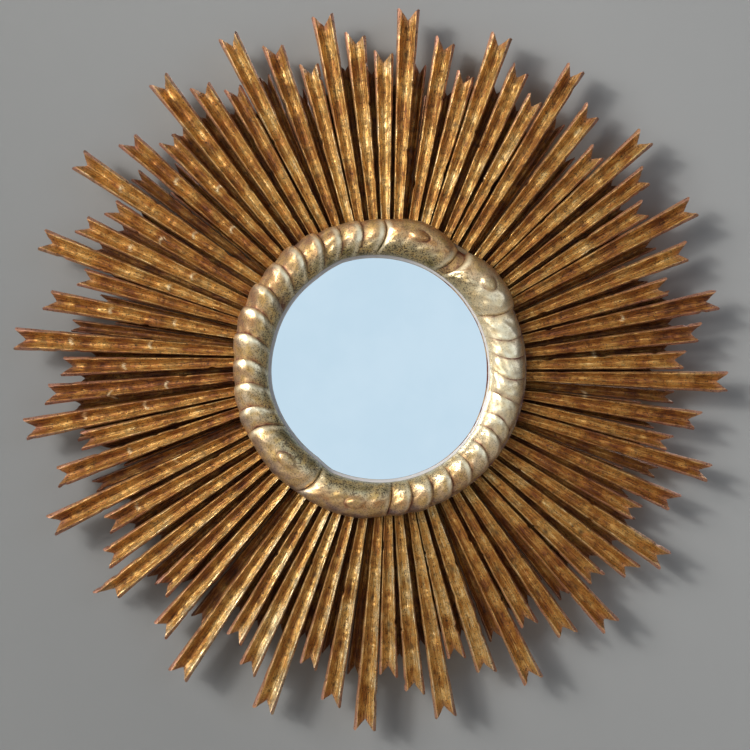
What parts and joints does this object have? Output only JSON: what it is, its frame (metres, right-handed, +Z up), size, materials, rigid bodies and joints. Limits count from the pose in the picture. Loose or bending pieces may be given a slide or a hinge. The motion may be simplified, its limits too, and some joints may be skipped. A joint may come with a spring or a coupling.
{
  "type": "sunburst mirror",
  "caption": "Round wall mirror in a carved, gilded ring, with two layers of fluted wooden rays of uneven length that end in swallowtails.",
  "frame": {"origin": "middle of the rear cover's back face, on the wall's plane and on the middle of the glass", "axes": "+Z up the wall, +Y into the wall, -Y towards the viewer, +X to the viewer's right"},
  "size_m": [0.8914, 0.0762, 0.9018],
  "materials": {
    "gilt_front_rays": "rubbed gold leaf over red clay on carved wood, speckled with umber",
    "gilt_back_rays": "thin gold over red clay on wood, dark and speckled",
    "gilt_carving": "burnished pale gold leaf over red clay on carved wood, dark in its hollows",
    "silvered_glass": "polished glass, silvered on its back",
    "hardboard": "smooth brown hardboard",
    "plywood": "sanded plywood, unpainted",
    "zinc_steel": "zinc-plated steel",
    "hanger_brass": "brass-plated steel, dull"
  },
  "bodies": {
    "mirror": {"front_rays_01": "gilt_front_rays", "front_rays_02": "gilt_front_rays", "front_rays_03": "gilt_front_rays", "front_rays_04": "gilt_front_rays", "front_rays_05": "gilt_front_rays", "front_rays_06": "gilt_front_rays", "front_rays_07": "gilt_front_rays", "front_rays_08": "gilt_front_rays", "front_rays_09": "gilt_front_rays", "front_rays_10": "gilt_front_rays", "front_rays_11": "gilt_front_rays", "front_rays_12": "gilt_front_rays", "front_rays_13": "gilt_front_rays", "front_rays_14": "gilt_front_rays", "front_rays_15": "gilt_front_rays", "front_rays_16": "gilt_front_rays", "front_rays_17": "gilt_front_rays", "front_rays_18": "gilt_front_rays", "front_rays_19": "gilt_front_rays", "front_rays_20": "gilt_front_rays", "front_rays_21": "gilt_front_rays", "front_rays_22": "gilt_front_rays", "front_rays_23": "gilt_front_rays", "front_rays_24": "gilt_front_rays", "back_rays_01": "gilt_back_rays", "back_rays_02": "gilt_back_rays", "back_rays_03": "gilt_back_rays", "back_rays_04": "gilt_back_rays", "back_rays_05": "gilt_back_rays", "back_rays_06": "gilt_back_rays", "back_rays_07": "gilt_back_rays", "back_rays_08": "gilt_back_rays", "back_rays_09": "gilt_back_rays", "back_rays_10": "gilt_back_rays", "back_rays_11": "gilt_back_rays", "back_rays_12": "gilt_back_rays", "back_rays_13": "gilt_back_rays", "back_rays_14": "gilt_back_rays", "back_rays_15": "gilt_back_rays", "back_rays_16": "gilt_back_rays", "back_rays_17": "gilt_back_rays", "back_rays_18": "gilt_back_rays", "back_rays_19": "gilt_back_rays", "back_rays_20": "gilt_back_rays", "back_rays_21": "gilt_back_rays", "back_rays_22": "gilt_back_rays", "back_rays_23": "gilt_back_rays", "back_rays_24": "gilt_back_rays", "carved_ring": "gilt_carving", "mirror_glass": "silvered_glass", "backing_board": "hardboard", "rear_cover": "hardboard", "core_board": "plywood", "glazing_points": "zinc_steel", "cover_screws": "zinc_steel", "ring_screws": "zinc_steel", "hanger_strap": "hanger_brass", "hanger_screws": "zinc_steel"},
    "hanger": {"hanger_ring": "hanger_brass"}
  },
  "joints": [
    {"name": "hanger_turn", "type": "hinge", "parent": "mirror", "child": "hanger", "pos_m": [0, -0.00518, 0.185], "axis": [-1, 0, 0], "range_deg": [0, 170]}
  ]
}
